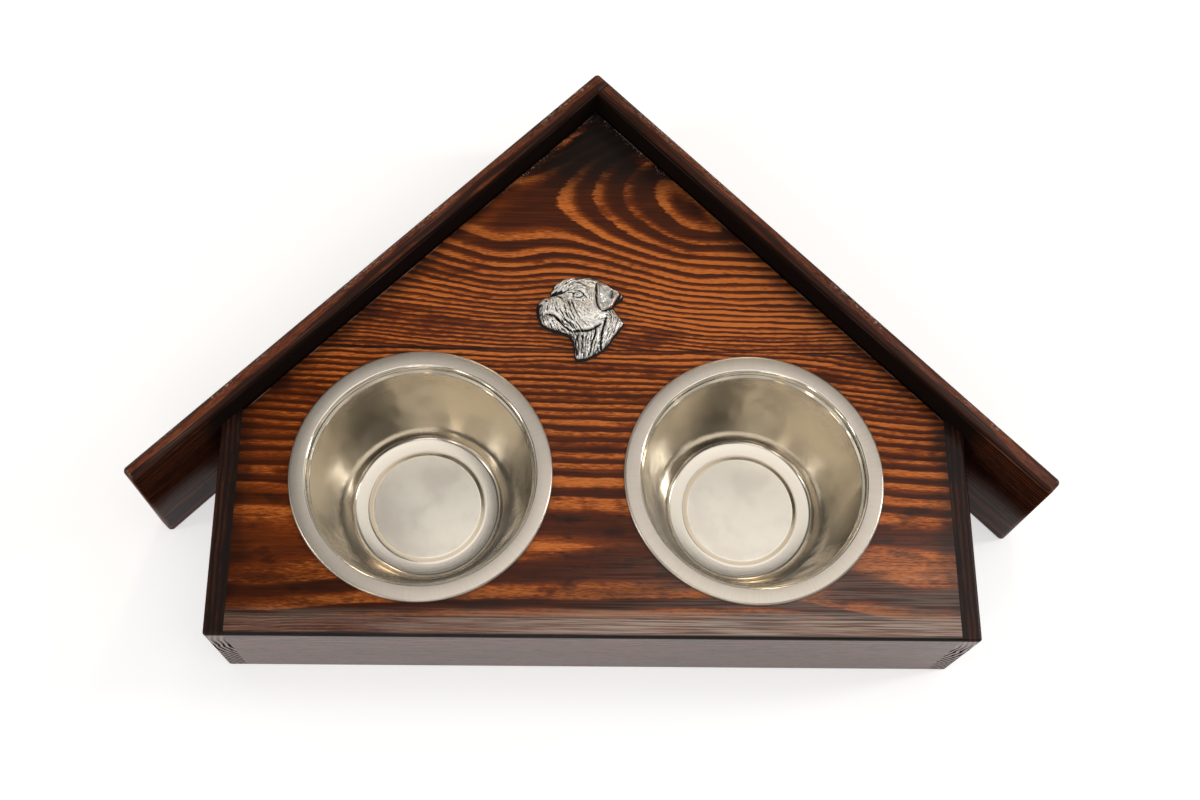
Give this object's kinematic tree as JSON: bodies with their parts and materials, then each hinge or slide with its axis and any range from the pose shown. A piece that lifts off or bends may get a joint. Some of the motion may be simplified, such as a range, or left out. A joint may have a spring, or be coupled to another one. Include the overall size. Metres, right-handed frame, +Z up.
{
  "type": "dog bowl stand",
  "caption": "House-shaped wooden stand with a gable roof of boards on edge, holding steel dog bowls by their rims in round holes, with a cast dog's head on the panel.",
  "frame": {"origin": "on the floor under the middle of the stand's bounding box, below the ridge line", "axes": "+X to the right along the front, +Y back towards the ridge, +Z up"},
  "size_m": [0.5594, 0.3738, 0.104],
  "materials": {
    "panel_pine": "burnt and stained pine under clear lacquer",
    "frame_pine": "darker burnt and stained pine under clear lacquer",
    "raw_pine": "stained pine, sawn",
    "bowl_steel": "polished inside, satin rim",
    "zinc_steel": "zinc plated",
    "pewter": "antiqued pewter casting, dark in its hollows"
  },
  "bodies": {
    "stand": {"panel_lower": "panel_pine", "panel_upper": "panel_pine", "front_board": "frame_pine", "left_side": "frame_pine", "right_side": "frame_pine", "roof_left": "frame_pine", "roof_right": "frame_pine", "front_cleat": "raw_pine", "left_cleat": "raw_pine", "right_cleat": "raw_pine", "roof_cleat_left": "raw_pine", "roof_cleat_right": "raw_pine", "panel_batten": "raw_pine", "front_block_left": "raw_pine", "front_block_right": "raw_pine", "eave_block_left": "raw_pine", "eave_block_right": "raw_pine", "ridge_block": "raw_pine", "panel_screws": "zinc_steel", "dog_head": "pewter"},
    "left_bowl": {"bowl_left": "bowl_steel"},
    "right_bowl": {"bowl_right": "bowl_steel"}
  },
  "joints": [
    {"name": "left_bowl_lift", "type": "slide", "parent": "stand", "child": "left_bowl", "axis": [0, 0, 1], "range_m": [0, 0.1]},
    {"name": "right_bowl_lift", "type": "slide", "parent": "stand", "child": "right_bowl", "axis": [0, 0, 1], "range_m": [0, 0.1]}
  ]
}
